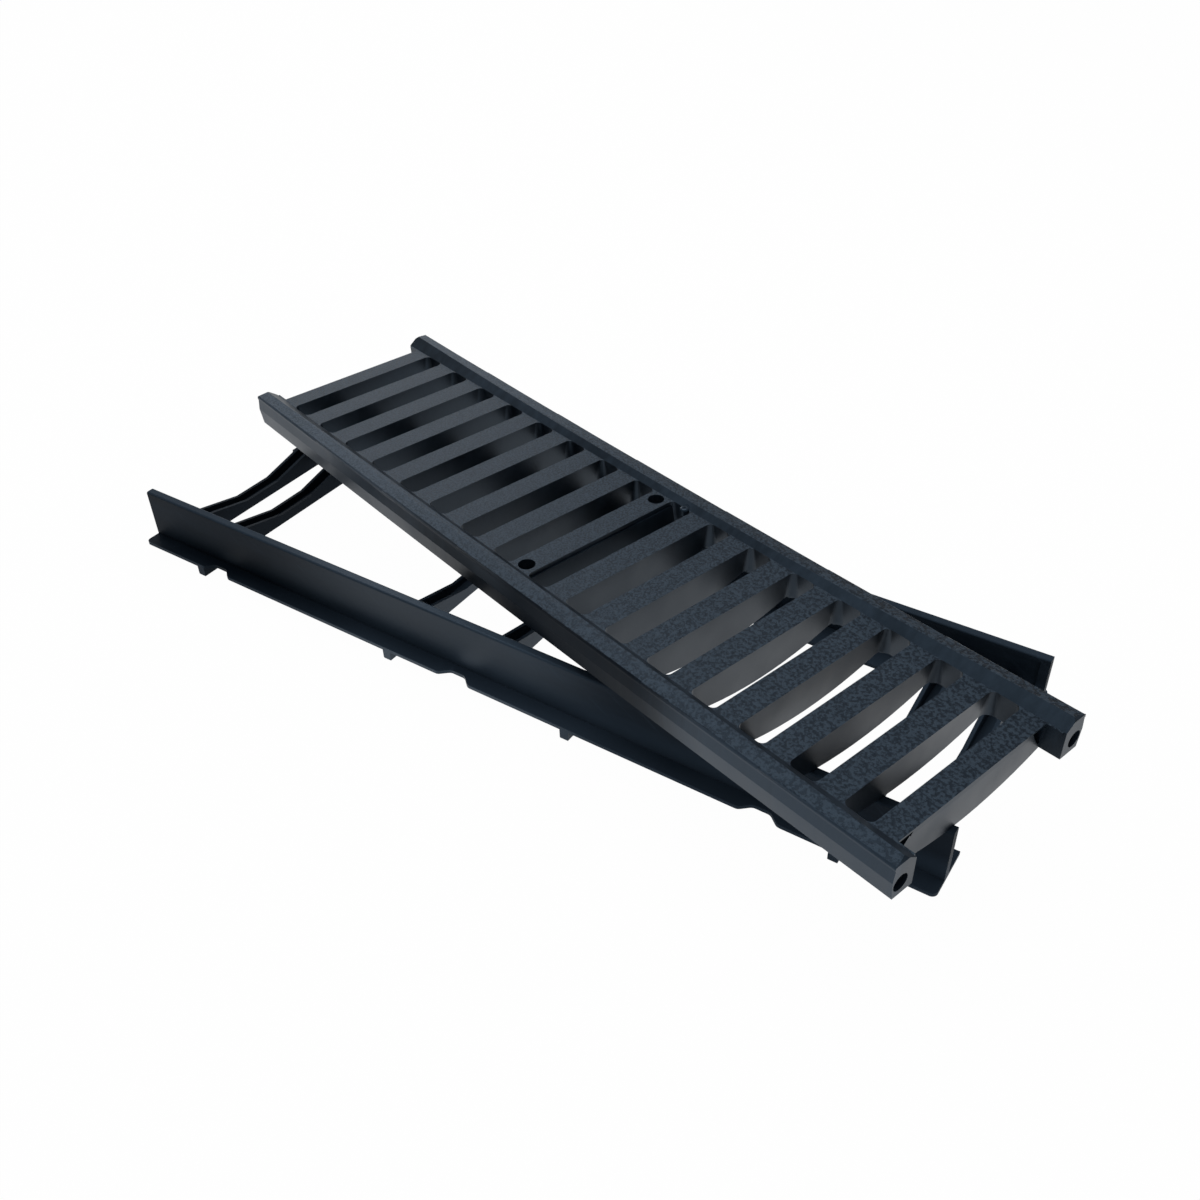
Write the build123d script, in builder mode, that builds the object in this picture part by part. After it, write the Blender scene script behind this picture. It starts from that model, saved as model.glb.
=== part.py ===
from build123d import *
from math import asin, cos, degrees, radians, sin, tan
import os

os.makedirs("parts", exist_ok=True)

# Slotted drain grate lying askew on its channel frame, both moulded in dark plastic.
# Millimetres, +Z up, X along the frame. The origin is on the floor, at the centre of the pair's footprint.
# Each moulding is symmetric about its own centre: mirrored features are made in a loop over both sides.
BOTH_SIDES = (-1, 1)

# Grate: overall sizes
grate_length = 500.0
grate_width = 127.0
rail_depth = 15.5
belly_depth = 24.0

# Grate: slots and bars
slot_count = 16
slot_pitch = 29.4
slot_width = 15.2
slot_length = 100.0
slot_corner = 3.0
bar_draft = 8.0
end_bar_draft = 3.0
skin_depth = 3.0
end_bar_step = 0.4

# Grate: rails and their raised lips. Each rail's section follows one long arc, lowest at mid-length.
lip_rise_at_ends = 4.8
lip_rise_at_middle = 2.6
lip_bevel = 6.4
lip_inset = 0.4
lip_fall = 1.2
lip_round = 1.2
groove_below_crest = 3.2
groove_step = 0.4
bulge_below_crest = 9.9
foot_inset = 1.3
rail_height = 20.0
rail_inset = 0.3

# Grate: horns, sockets, corner recesses, fixing holes and the pip of plastic
horn_length = 9.4
horn_ledge = 0.9
horn_ledge_depth = 1.6
horn_chamfer = 1.4
socket_diameter = 8.6
socket_depth = 12.0
socket_from_edge = 5.3
socket_below_bars = 8.2
recess_width = 9.0
recess_width_below = 1.5
recess_height = 11.0
recess_cover = 1.0
recess_depth = 4.0
recess_off_horn = 1.0
fixing_hole_diameter = 9.0
fixing_hole_spacing = 88.8
fixing_wall = 3.2
pip_diameter = 5.4
pip_rise = 0.9
pip_round = 1.2
pip_dimple_diameter = 1.6
pip_dimple_depth = 0.8
pip_off_slot_centre = 2.7
pip_off_slot_end = 0.8

# Frame: overall sizes
frame_length = 500.0
frame_height = 31.6
width_over_walls = 133.4
wall_thickness = 3.0
plate_thickness = 2.0
flange_reach = 9.5
flange_corner = 3.0
ledge_reach = 16.1

# Frame: bead along the wall's top, and the ribs at the walls' ends
bead_width = 5.3
bead_depth = 2.8
bead_round = 1.2
end_rib_length = 4.7

# Frame: scalloped cut-outs along the flanges' edges
scallop_places = (-190.0, -12.5, 165.0)
scallop_width = 20.0
scallop_floor = 9.0
scallop_depth = 4.8
scallop_round = 4.0

# Frame: feet under the flanges, in line with the inner ties
foot_width = 5.0
foot_length = 10.0
foot_height = 6.5
foot_round = 1.4

# Frame: channel-shaped ties between the walls
inner_tie_from_middle = 58.0
second_tie_from_end = 47.0
end_tie_from_end = 16.5
tie_width = 10.4
tie_rib = 2.0
tie_floor = 2.0
tie_drop = 3.0
tie_flat_length = 26.0
tie_crest = 3.0
tie_slope = 13.0

# How the grate lies on the frame
grate_turn = -16.1
grate_shift_along = 20.2
grate_shift_across = 10.1
seat_gap = 0.1

# How far cutting shapes reach beyond the solid
spare = 5.0

# Whole pair: the footprint's centre goes to the origin
turn = radians(abs(grate_turn))
grate_reach_along = (grate_length * cos(turn) + grate_width * sin(turn)) / 2
grate_reach_across = (grate_length * sin(turn) + grate_width * cos(turn)) / 2
flange_width = width_over_walls + 2 * flange_reach
low_along = min(-frame_length / 2, grate_shift_along - grate_reach_along)
high_along = max(frame_length / 2, grate_shift_along + grate_reach_along)
low_across = min(-flange_width / 2, grate_shift_across - grate_reach_across)
high_across = max(flange_width / 2, grate_shift_across + grate_reach_across)
frame_x = -(low_along + high_along) / 2
frame_y = -(low_across + high_across) / 2

frame_base = Plane(origin=(frame_x, frame_y, foot_height))
grate_top = Plane(
    origin=(
        frame_x + grate_shift_along,
        frame_y + grate_shift_across,
        foot_height + frame_height + seat_gap + belly_depth,
    ),
    x_dir=(cos(radians(grate_turn)), sin(radians(grate_turn)), 0),
)


def across(base, along):
    """Upright plane across a moulding, at a place along it: its X runs across and its Y runs up."""
    return Plane(origin=base.from_local_coords((along, 0, 0)), x_dir=base.y_dir, z_dir=base.x_dir)


def lengthwise(base, sideways):
    """Upright plane along a moulding, at a place across it: its X runs along and its Y runs up."""
    return Plane(origin=base.from_local_coords((0, sideways, 0)), x_dir=base.x_dir, z_dir=-base.y_dir)


# Grate: sizes that follow from the ones above
half_length = grate_length / 2
half_width = grate_width / 2
half_slot = slot_length / 2
bar_end = half_length - horn_length
cap_end = half_length - horn_chamfer
lip_inner = half_slot + lip_bevel
lip_outer = half_width - lip_inset
rail_foot = half_width - foot_inset
lip_slope = lip_fall / (lip_outer - lip_inner)
lip_sag = lip_rise_at_ends - lip_rise_at_middle
arc_radius = (half_length**2 + lip_sag**2) / (2 * lip_sag)
arc_centre = grate_top.from_local_coords((0, 0, lip_rise_at_middle + arc_radius))
arc_angle = degrees(asin((half_length + spare) / arc_radius))
arc_start = Plane(
    origin=arc_centre,
    x_dir=grate_top.y_dir,
    z_dir=grate_top.x_dir * cos(radians(arc_angle)) + grate_top.z_dir * sin(radians(arc_angle)),
)
crest = -arc_radius
end_bar_side = bar_end - end_bar_step
end_bar_foot = end_bar_side - (belly_depth - skin_depth) * tan(radians(end_bar_draft))
fixing_bar_half_width = fixing_hole_diameter / 2 + fixing_wall
recess_outer = half_slot - recess_off_horn


def belly_outline(top):
    """Outline from rail to rail, between a level top and the arched underside, deepest in the middle."""
    ThreePointArc((-half_slot, -rail_depth), (0, -belly_depth), (half_slot, -rail_depth))
    Polyline(
        (half_slot, -rail_depth),
        (lip_inner, -rail_depth),
        (lip_inner, top),
        (-lip_inner, top),
        (-lip_inner, -rail_depth),
        (-half_slot, -rail_depth),
    )


with BuildPart() as grate:
    # Block of bars with the arched underside
    with BuildSketch(across(grate_top, 0)):
        with BuildLine():
            belly_outline(0)
        make_face()
    extrude(amount=bar_end, both=True)

    # End bars' outer faces step in below the skin and lean in towards the bottom
    with BuildSketch(lengthwise(grate_top, 0)):
        for side in BOTH_SIDES:
            with BuildLine():
                Polyline(
                    (side * end_bar_side, -skin_depth),
                    (side * end_bar_foot, -belly_depth),
                    (side * (bar_end + spare), -belly_depth),
                    (side * (bar_end + spare), -skin_depth),
                    close=True,
                )
            make_face()
    extrude(amount=half_width, both=True, mode=Mode.SUBTRACT)

    # Rails, larger than they end up, with the lips' inner bevels
    with BuildSketch(across(grate_top, 0)):
        for side in BOTH_SIDES:
            with BuildLine():
                Polyline(
                    (side * half_slot, 0),
                    (side * lip_inner, lip_rise_at_ends),
                    (side * (half_width + spare), lip_rise_at_ends),
                    (side * (half_width + spare), -rail_height),
                    (side * half_slot, -rail_height),
                    close=True,
                )
            make_face()
    extrude(amount=half_length, both=True)

    # Dish: one long arc takes the lips down towards the middle, and a chamfer takes off each cap's end
    with BuildSketch(lengthwise(grate_top, 0)):
        with BuildLine():
            ThreePointArc((-cap_end, lip_rise_at_ends), (0, lip_rise_at_middle), (cap_end, lip_rise_at_ends))
            Polyline(
                (cap_end, lip_rise_at_ends),
                (half_length + horn_chamfer, lip_rise_at_ends - 2 * horn_chamfer),
                (half_length + spare, lip_rise_at_ends - 2 * horn_chamfer),
                (half_length + spare, lip_rise_at_ends + spare),
                (-half_length - spare, lip_rise_at_ends + spare),
                (-half_length - spare, lip_rise_at_ends - 2 * horn_chamfer),
                (-half_length - horn_chamfer, lip_rise_at_ends - 2 * horn_chamfer),
                (-cap_end, lip_rise_at_ends),
            )
        make_face()
    extrude(amount=half_width + 2 * spare, both=True, mode=Mode.SUBTRACT)

    # Rails' outer sides and undersides, both following the long arc: the lip falls outwards, a fine groove
    # runs below its edge, and the side swells below the groove and draws in to the foot
    for side in BOTH_SIDES:
        with BuildSketch(arc_start):
            with BuildLine():
                Polyline(
                    (side * (lip_inner - spare), crest + spare * lip_slope),
                    (side * lip_outer, crest - lip_fall),
                    (side * lip_outer, crest - groove_below_crest),
                    (side * (lip_outer - groove_step), crest - groove_below_crest),
                    (side * half_width, crest - bulge_below_crest),
                    (side * rail_foot, crest - rail_height),
                    (side * (half_slot - rail_inset), crest - rail_height),
                    (side * (half_slot - rail_inset), crest - rail_height - spare),
                    (side * (half_width + 2 * spare), crest - rail_height - spare),
                    (side * (half_width + 2 * spare), crest + lip_sag + spare),
                    (side * (lip_inner - spare), crest + lip_sag + spare),
                    close=True,
                )
            make_face()
        revolve(axis=Axis(arc_centre, grate_top.y_dir), revolution_arc=2 * arc_angle, mode=Mode.SUBTRACT)
    arcs = grate.edges().filter_by(GeomType.CIRCLE)
    long_arcs = arcs.filter_by(lambda edge: edge.length > half_length)
    fillet(long_arcs.sort_by(Axis.Z)[-2:], radius=lip_round)

    # Slots, wider below than at the top
    with BuildSketch(grate_top):
        with GridLocations(slot_pitch, 0, slot_count, 1):
            RectangleRounded(slot_width, slot_length, slot_corner)
    extrude(amount=-belly_depth, taper=-bar_draft, mode=Mode.SUBTRACT)

    # Middle bar is thick enough below its skin to take the fixing holes
    with BuildSketch(across(grate_top, 0)):
        with BuildLine():
            belly_outline(-skin_depth)
        make_face()
    extrude(amount=fixing_bar_half_width, both=True)
    with BuildSketch(grate_top):
        with GridLocations(0, fixing_hole_spacing, 1, 2):
            Circle(fixing_hole_diameter / 2)
    extrude(amount=-belly_depth, mode=Mode.SUBTRACT)

    for side in BOTH_SIDES:
        # Horns: the cap overhangs the inner side, and a blind socket enters the end face
        with BuildSketch(across(grate_top, side * end_bar_side)):
            for inner in BOTH_SIDES:
                with Locations((inner * half_slot, -horn_ledge_depth / 2)):
                    Rectangle(2 * horn_ledge, horn_ledge_depth)
        extrude(amount=side * (cap_end - end_bar_side))
        with BuildSketch(across(grate_top, side * half_length)):
            with Locations((0, -socket_below_bars)):
                with GridLocations(grate_width - 2 * socket_from_edge, 0, 2, 1):
                    Circle(socket_diameter / 2)
        extrude(amount=-side * socket_depth, mode=Mode.SUBTRACT)

        # Tapering recess in the end bar's outer face beside each horn
        with BuildSketch(across(grate_top, side * bar_end)):
            for inner in BOTH_SIDES:
                with BuildLine():
                    Polyline(
                        (inner * (recess_outer - recess_width), -recess_cover),
                        (inner * recess_outer, -recess_cover),
                        (inner * recess_outer, -recess_cover - recess_height),
                        (inner * (recess_outer - recess_width_below), -recess_cover - recess_height),
                        close=True,
                    )
                make_face()
        extrude(amount=-side * recess_depth, mode=Mode.SUBTRACT)

    # Pip of glossy plastic at one slot's end, with a dimple in its top
    pip_place = grate_top.from_local_coords(
        (slot_pitch / 2 + pip_off_slot_centre, half_slot - pip_off_slot_end, 0)
    )
    with BuildSketch(Plane(origin=pip_place, x_dir=grate_top.x_dir, z_dir=-grate_top.y_dir)):
        with BuildLine():
            Polyline(
                (0, pip_rise - pip_dimple_depth),
                (pip_dimple_diameter / 2, pip_rise),
                (pip_diameter / 2, pip_rise),
                (pip_diameter / 2, -skin_depth),
                (0, -skin_depth),
                close=True,
            )
        make_face()
        fillet(vertices().sort_by(Axis.X)[-2:].sort_by(Axis.Y)[-1:], radius=pip_round)
    revolve(axis=Axis(pip_place, (0, 0, 1)))

grate.part.label = "grate"
export_step(grate.part, "parts/grate.step")

# Frame: sizes that follow from the ones above
half_frame = frame_length / 2
foot_offsets = (inner_tie_from_middle, half_frame - second_tie_from_end)
tie_offsets = (*foot_offsets, half_frame - end_tie_from_end)
foot_places = (-foot_offsets[1], -foot_offsets[0], *foot_offsets)
tie_places = (-tie_offsets[2], -tie_offsets[1], -tie_offsets[0], 0, *tie_offsets)
wall_outer = width_over_walls / 2
wall_inner = wall_outer - wall_thickness
bead_inner = wall_outer - bead_width
ledge_inner = wall_inner - ledge_reach
flange_edge = flange_width / 2
tie_flat = tie_flat_length / 2
tie_height_at_wall = tie_crest + (wall_inner - tie_flat) * tan(radians(tie_slope))


def tie_outline(bottom, lift):
    """Outline of a tie from wall to wall: level in the middle and rising to both walls, raised by lift."""
    Polyline(
        (-wall_inner, bottom),
        (wall_inner, bottom),
        (wall_inner, tie_height_at_wall + lift),
        (tie_flat, tie_crest + lift),
        (-tie_flat, tie_crest + lift),
        (-wall_inner, tie_height_at_wall + lift),
        close=True,
    )


with BuildPart() as frame:
    # Foot plates: the flange outside each wall and the ledge inside it, with scalloped outer edges
    with BuildSketch(frame_base):
        Rectangle(frame_length, flange_width)
        fillet(vertices(), radius=flange_corner)
        for side in BOTH_SIDES:
            for place in scallop_places:
                with BuildLine():
                    Polyline(
                        (place - scallop_width / 2, side * flange_edge),
                        (place - scallop_floor / 2, side * (flange_edge - scallop_depth)),
                        (place + scallop_floor / 2, side * (flange_edge - scallop_depth)),
                        (place + scallop_width / 2, side * flange_edge),
                        close=True,
                    )
                make_face(mode=Mode.SUBTRACT)
        scallop_corners = vertices().filter_by(lambda corner: abs(corner.X) < half_frame - 2 * flange_corner)
        fillet(scallop_corners, radius=scallop_round)
        Rectangle(frame_length, 2 * ledge_inner, mode=Mode.SUBTRACT)
    extrude(amount=plate_thickness)

    # Walls with a rounded bead along the top
    with BuildSketch(across(frame_base, 0)):
        for side in BOTH_SIDES:
            with BuildLine():
                Polyline(
                    (side * wall_outer, 0),
                    (side * wall_outer, frame_height),
                    (side * bead_inner, frame_height),
                    (side * bead_inner, frame_height - bead_depth),
                    (side * wall_inner, frame_height - bead_depth),
                    (side * wall_inner, 0),
                    close=True,
                )
            make_face()
        fillet(vertices().group_by(Axis.Y)[-1], radius=bead_round)
    extrude(amount=half_frame, both=True)

    # Ribs that stiffen the walls' ends, as wide as the bead
    with BuildSketch(frame_base):
        for side in BOTH_SIDES:
            with Locations((0, side * (bead_inner + wall_inner) / 2)):
                with GridLocations(frame_length - end_rib_length, 0, 2, 1):
                    Rectangle(end_rib_length, wall_inner - bead_inner)
    extrude(amount=frame_height - bead_depth)

    # Ties: channels open upwards, from wall to wall
    for place in tie_places:
        with BuildSketch(across(frame_base, place)):
            with BuildLine():
                tie_outline(-tie_drop, 0)
            make_face()
        extrude(amount=tie_width / 2, both=True)
    for place in tie_places:
        with BuildSketch(across(frame_base, place)):
            with BuildLine():
                tie_outline(tie_floor - tie_drop, spare)
            make_face()
        extrude(amount=tie_width / 2 - tie_rib, both=True, mode=Mode.SUBTRACT)

    # Feet under the flanges' outer edges
    with BuildSketch(frame_base.offset(-foot_height)):
        for side in BOTH_SIDES:
            for place in foot_places:
                with Locations((place, side * (flange_edge - foot_length / 2))):
                    Rectangle(foot_width, foot_length)
    extrude(amount=foot_height)
    fillet(frame.faces().sort_by(Axis.Z)[: 2 * len(foot_places)].edges(), radius=foot_round)

frame.part.label = "frame"
export_step(frame.part, "parts/frame.step")
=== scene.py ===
"""Slotted plastic drain grate lying askew on the channel frame that it drops into, dressed for a picture."""

from math import radians

import bpy
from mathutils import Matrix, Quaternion, Vector

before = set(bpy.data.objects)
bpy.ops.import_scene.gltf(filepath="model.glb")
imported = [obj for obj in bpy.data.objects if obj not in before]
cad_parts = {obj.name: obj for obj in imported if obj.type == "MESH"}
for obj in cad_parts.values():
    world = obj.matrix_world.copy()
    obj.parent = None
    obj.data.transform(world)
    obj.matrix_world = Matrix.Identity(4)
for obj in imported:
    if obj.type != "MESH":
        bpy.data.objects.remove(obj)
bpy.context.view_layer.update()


# Grate: one injection moulding of blue-black polypropylene. The mould gives its tread a leathery grain,
# fine towards the left end and coarser towards the right. Rails' sides, horns and slots come out smooth,
# with faint flow streaks, and a drop of glossy plastic is left at one slot's end.

class Wire:
    """One socket of a material's nodes. Arithmetic on it adds Math nodes, and node() adds any other node."""

    def __init__(self, tree, socket=None):
        self.tree = tree
        self.socket = socket

    def node(self, kind, settings=None, values=None, output=0):
        """Adds a node: first its settings, then the value or the link of each named or numbered socket."""
        made = self.tree.nodes.new(kind)
        for name, value in (settings or {}).items():
            setattr(made, name, value)
        for name, value in (values or {}).items():
            if isinstance(value, Wire):
                self.tree.links.new(value.socket, made.inputs[name])
            else:
                made.inputs[name].default_value = value
        return Wire(self.tree, made.outputs[output] if len(made.outputs) else None)

    def math(self, operation, *terms):
        return self.node("ShaderNodeMath", {"operation": operation}, dict(enumerate(terms)))

    def __add__(self, other):
        return self.math("ADD", self, other)

    __radd__ = __add__

    def __sub__(self, other):
        return self.math("SUBTRACT", self, other)

    def __rsub__(self, other):
        return self.math("SUBTRACT", other, self)

    def __mul__(self, other):
        return self.math("MULTIPLY", self, other)

    __rmul__ = __mul__

    def __pow__(self, other):
        return self.math("POWER", self, other)

    def most(self, other):
        return self.math("MAXIMUM", self, other)

    def size(self):
        return self.math("ABSOLUTE", self)

    def ramp(self, start, end):
        """0 up to start, 1 from end on, and an S-shaped rise between them. Start may be the larger."""
        return self.node(
            "ShaderNodeMapRange",
            {"interpolation_type": "SMOOTHSTEP"},
            {"Value": self, "From Min": start, "From Max": end},
        )

    def colour(self, none, full):
        """Colour that goes from none to full as this value goes from 0 to 1."""
        return self.node("ShaderNodeMix", {"data_type": "RGBA"}, {0: self, 6: none, 7: full}, output=2)

    def blend(self, none, full):
        """Shader that goes from none to full as this value goes from 0 to 1."""
        return self.node("ShaderNodeMixShader", values={0: self, 1: none, 2: full})

    def bump(self, strength, distance):
        """Bumps that take this value as their height."""
        values = {"Strength": strength, "Distance": distance, "Height": self}
        return self.node("ShaderNodeBump", values=values)

    def measured(self, centre=(0.0, 0.0, 0.0), turn=(0.0, 0.0, 0.0), stretch=(1.0, 1.0, 1.0)):
        """This place from a centre, along turned axes, in units that are drawn out along each of them."""
        return self.node(
            "ShaderNodeMapping",
            {"vector_type": "TEXTURE"},
            {"Vector": self, "Location": centre, "Rotation": turn, "Scale": stretch},
        )

    def noise(self, scale, detail=2.0, roughness=0.5, stretch=(1.0, 1.0, 1.0)):
        """Cloudy pattern on this place, drawn out along each axis by stretch. Scale is in patches a metre."""
        return self.node(
            "ShaderNodeTexNoise",
            values={
                "Vector": self.measured(stretch=stretch),
                "Scale": scale,
                "Detail": detail,
                "Roughness": roughness,
            },
        )

    def axes(self):
        return [self.node("ShaderNodeSeparateXYZ", values={"Vector": self}, output=axis) for axis in "XYZ"]


def empty(holder):
    """Gives a material or a world an empty set of nodes, and returns a wire to start them from."""
    holder.use_nodes = True
    holder.node_tree.nodes.clear()
    return Wire(holder.node_tree)


def plastic(name, centre, turn):
    """New material, with the place on its moulding, measured from its centre along its own turned axes."""
    material = bpy.data.materials.new(name)
    place = empty(material).node("ShaderNodeTexCoord", output="Object")
    return material, place.measured(centre, turn)


def shiny(colour, roughness, specular, bump):
    """Shader of this plastic, whose shine is a little blue, with the given strength of shine."""
    return colour.node(
        "ShaderNodeBsdfPrincipled",
        values={
            "Base Color": colour,
            "Roughness": roughness,
            "Specular IOR Level": specular,
            "Specular Tint": (0.50, 0.73, 1.0, 1.0),
            "Normal": bump,
        },
    )


def dress(node, material, shader):
    """The moulding keeps its own mesh and takes this material, closed by its shader, in every slot."""
    shader.node("ShaderNodeOutputMaterial", values={"Surface": shader})
    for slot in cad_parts[node].material_slots:
        slot.material = material


grate_centre = (0.006198, 0.0, 0.0622)
grate_turn = (0.0, 0.0, radians(-16.1))
grate_plastic, place = plastic("grate plastic", grate_centre, grate_turn)
along, over, up = place.axes()
faces_up = place.node("ShaderNodeNewGeometry", output="True Normal").measured(turn=grate_turn).axes()[2]

# The tread is what faces up above the slots' walls; the grain on it is coarser towards the right end
tread = faces_up.ramp(0.80, 0.90) * up.ramp(-0.0018, -0.0010)
coarseness = along.ramp(-0.06, 0.20)
fine_grain = place.noise(820.0, 2.0, 0.7)
coarse_grain = place.noise(560.0, 3.0, 0.65)
leather = place.noise(230.0)
grain = fine_grain * (1 - coarseness) + coarse_grain * coarseness
tread_tone = (0.5 + (grain - 0.5) * 6.5 + (leather - 0.5) * (0.8 + 1.2 * coarseness)).ramp(0.0, 1.0)
tread_colour = tread_tone.colour((0.0006, 0.0025, 0.0065, 1.0), (0.0300, 0.0440, 0.0620, 1.0))

# The lips' tops get a painted highlight, strongest towards the left end
lip_foot, lip_top = 0.0540, 0.0570
painted_highlight = over.size().ramp(lip_foot, lip_top) * along.ramp(0.03, -0.17)
painted_highlight_colour = tread_tone.colour((0.0280, 0.0390, 0.0520, 1.0), (0.0640, 0.0840, 0.1120, 1.0))
tread_colour = (painted_highlight * 0.85).colour(tread_colour, painted_highlight_colour)
tread_height = fine_grain * (1 - coarseness) * 0.5 + coarse_grain * (0.3 + coarseness * 0.7)
tread_shader = shiny(tread_colour, 0.46 + (grain - 0.5) * 0.6, 0.36, tread_height.bump(0.8, 0.0005))

# The smooth sides have streaks that run down the rails and soft clouds of gloss. Painted shade darkens them
# deep in the slots, and the near rail's side has painted light towards both ends and painted shade between
# them.
slot_half, slot_wall = 0.0500, 0.0515
rail_foot, rail_side = 0.0580, 0.0610
streaks = place.noise(90.0, 3.0, 0.6, (0.5, 1.0, 5.0))
clouds = place.noise(28.0, 2.0, 0.5, (1.6, 1.0, 1.0))
# Painted shade: the sides darken deep in the slots
painted_slot_shade = (-1 * up).ramp(0.002, 0.014)
in_slot = over.size().ramp(slot_wall, slot_half)
rail_ends = along.ramp(0.09, 0.16).most(along.ramp(-0.03, -0.12))
near_rail = over.ramp(-rail_foot, -rail_side)
# Painted light on the near rail's side towards both ends, and painted shade between them
painted_side_light = near_rail * (rail_ends * 0.75 - 0.30)
side_tone = (0.35 + painted_side_light + (streaks - 0.5) * 0.9 + (clouds - 0.5) * 0.8).ramp(0.0, 1.0)
side_tone = side_tone * (1 - 0.75 * painted_slot_shade * in_slot)
side_colour = side_tone.colour((0.0020, 0.0045, 0.0085, 1.0), (0.0230, 0.0360, 0.0540, 1.0))
side_bump = (streaks + fine_grain * 0.2).bump(0.08, 0.0006)

# The pip is glossier than the rest
pip_along, pip_over = 0.0174, 0.0492
pip_radius, pip_core = 0.0030, 0.0027
from_pip = (along - pip_along) ** 2 + (over - pip_over) ** 2
pip = from_pip.ramp(pip_radius**2, pip_core**2) * up.ramp(0.0, 0.0002)
side_roughness = (0.40 + (clouds - 0.5) * 0.25 + (streaks - 0.5) * 0.1) * (1 - 0.65 * pip)

# Painted shade: the near rail's side is a dull, weakly shining copy over a stretch right of its middle, and
# the rest keeps its shine
painted_shade_stretch = near_rail * along.ramp(-0.02, 0.02) * along.ramp(0.15, 0.10)
smooth_sides = painted_shade_stretch.blend(
    shiny(side_colour, side_roughness, 0.42, side_bump),
    shiny(side_colour, side_roughness + 0.15, 0.12, side_bump),
)
dress("grate", grate_plastic, (tread * (1 - pip)).blend(smooth_sides, tread_shader))


# Frame: one long moulding of the same plastic, smooth all over. The melt leaves long soft streaks along the
# walls, scuffs cross them at a slant, and the bead and the flange's rim have painted highlights.

frame_centre = (-0.014002, -0.0101, 0.0065)
bead_foot, bead_side = 0.0304, 0.0314
rim_inner, rim_outer = 0.0757, 0.0761
frame_plastic, place = plastic("frame plastic", frame_centre, (0.0, 0.0, 0.0))
along, over, up = place.axes()
flow = place.noise(34.0, 4.0, 0.6, (4.0, 1.0, 0.6))
clouds = place.noise(16.0, 3.0, 0.5, (2.0, 1.0, 1.0))
slant = place.measured(turn=(0.0, radians(38.0), 0.0))
scuffs = slant.noise(150.0, 3.0, 0.7, (9.0, 1.0, 0.5)).ramp(0.58, 0.80)
fine_grain = place.noise(1500.0, 2.0, 0.6)
# Painted highlights along the bead and the flange's rim
painted_highlight = up.ramp(bead_foot, bead_side).most(over.size().ramp(rim_inner, rim_outer))
wall_tone = (0.27 + (flow - 0.5) * 0.7 + (clouds - 0.5) * 0.8 + scuffs * 0.25 + painted_highlight * 0.4).ramp(0.0, 1.0)

# Painted shade darkens the walls a little towards their foot, and painted light makes the foot of the walls
# and the flanges paler, except at the left end
painted_low_light = up.ramp(0.020, 0.004) * along.ramp(-0.16, -0.05)
wall_tone = wall_tone * (0.80 + 0.20 * up.ramp(0.0, 0.022)) + painted_low_light * (0.50 + 0.35 * along.ramp(0.02, 0.08))
wall_colour = wall_tone.colour((0.0016, 0.0036, 0.0070, 1.0), (0.0300, 0.0460, 0.0680, 1.0))
wall_bump = (flow + scuffs * 0.3 + fine_grain * 0.15).bump(0.12, 0.0005)
wall_roughness = 0.42 + (clouds - 0.5) * 0.25 + (flow - 0.5) * 0.15

# The middle of the walls has a painted sheen, and their ends are a dull copy of the same plastic as painted
# shade
painted_sheen = along.ramp(-0.17, -0.05) * along.ramp(0.09, 0.02)
walls = painted_sheen.blend(
    shiny(wall_colour, wall_roughness + 0.15, 0.10, wall_bump),
    shiny(wall_colour, wall_roughness, 0.38, wall_bump),
)
dress("frame", frame_plastic, walls)


# Floor: a sheet of white paper that runs on past the picture. Seen by the camera or in a reflection it is
# nearly all its own white. The small rest is lit, which is too little for a shadow that the eye can see.

floor_reach = 4.0
own_white = 0.985
floor_corners = [(x * floor_reach, y * floor_reach, 0.0) for x, y in ((-1, -1), (1, -1), (1, 1), (-1, 1))]
floor_mesh = bpy.data.meshes.new("floor")
floor_mesh.from_pydata(floor_corners, [], [(0, 1, 2, 3)])
floor = bpy.data.objects.new("floor", floor_mesh)
bpy.context.scene.collection.objects.link(floor)
paper = bpy.data.materials.new("white paper")
start = empty(paper)
paper_grain = start.node("ShaderNodeTexCoord", output="Object").noise(60.0)
paper_colour = paper_grain.colour((0.86, 0.87, 0.88, 1.0), (0.90, 0.90, 0.90, 1.0))
paper_lit = start.node("ShaderNodeBsdfDiffuse", values={"Color": paper_colour})
paper_white = start.node("ShaderNodeEmission", values={"Color": (1.0, 1.0, 1.0, 1.0), "Strength": 1.0})
seen = start.node("ShaderNodeLightPath", output="Is Camera Ray")
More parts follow.
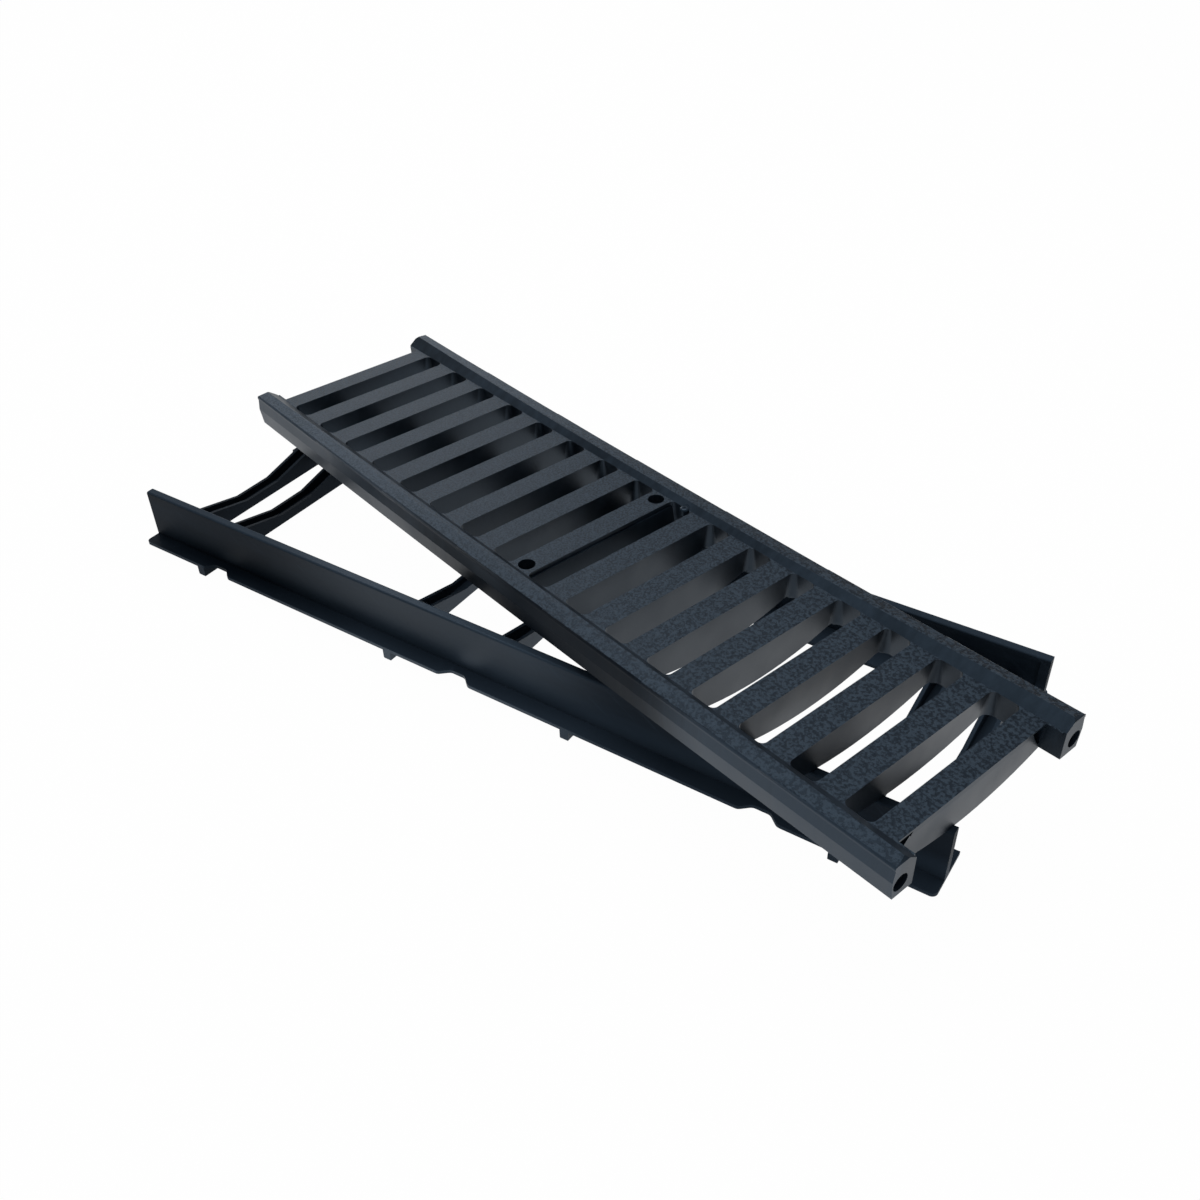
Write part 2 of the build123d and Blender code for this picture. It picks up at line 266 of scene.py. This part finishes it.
for ray in ("Is Glossy Ray", "Is Transmission Ray"):
    seen = seen.most(start.node("ShaderNodeLightPath", output=ray))
sheet = (seen * own_white).blend(paper_lit, paper_white)
sheet.node("ShaderNodeOutputMaterial", values={"Surface": sheet})
floor_mesh.materials.append(paper)


# Backdrop: the white of an overexposed studio. The camera sees it at full white, and it lights the
# mouldings at a plain level.

backdrop_light = 0.3
studio = bpy.data.worlds.new("studio")
bpy.context.scene.world = studio
start = empty(studio)
seen = start.node("ShaderNodeLightPath", output="Is Camera Ray")
backdrop = start.node(
    "ShaderNodeBackground",
    values={"Color": (1.0, 1.0, 1.0, 1.0), "Strength": backdrop_light + seen * (1.0 - backdrop_light)},
)
backdrop.node("ShaderNodeOutputWorld", values={"Surface": backdrop})


# Lamps: a wide soft box hangs overhead. A smaller and weaker one stands far behind the left end and grazes
# the treads from there.

def soft_box(name, place, aim, width, watts):
    """Square lamp of this width at a place, turned to face the point that it aims at."""
    lamp = bpy.data.lights.new(name, "AREA")
    lamp.size = width
    lamp.energy = watts
    box = bpy.data.objects.new(name, lamp)
    box.location = place
    box.rotation_euler = (Vector(aim) - Vector(place)).to_track_quat("-Z", "Y").to_euler()
    bpy.context.scene.collection.objects.link(box)


soft_box("overhead", place=(-0.20, 0.20, 1.40), aim=(0.0, 0.0, 0.0), width=1.2, watts=9.0)
soft_box("behind", place=(-1.30, 1.05, 0.85), aim=(-0.1, 0.0, 0.05), width=0.9, watts=4.0)


# Camera: looks down on the mouldings from above their near right corner, rolled a little, as the
# photograph's slots and frame edges show.

lens = bpy.data.cameras.new("camera")
lens.sensor_width = 36.0
lens.lens = 36.707
camera = bpy.data.objects.new("camera", lens)
camera.location = (0.309481, -0.435026, 0.427913)
line_of_sight = Vector((-0.448922, 0.649610, -0.613576))
roll = Quaternion((0.0, 0.0, 1.0), radians(-1.857))
camera.rotation_mode = "QUATERNION"
camera.rotation_quaternion = line_of_sight.to_track_quat("-Z", "Y") @ roll
bpy.context.scene.collection.objects.link(camera)
bpy.context.scene.camera = camera
bpy.context.scene.view_settings.view_transform = "Standard"
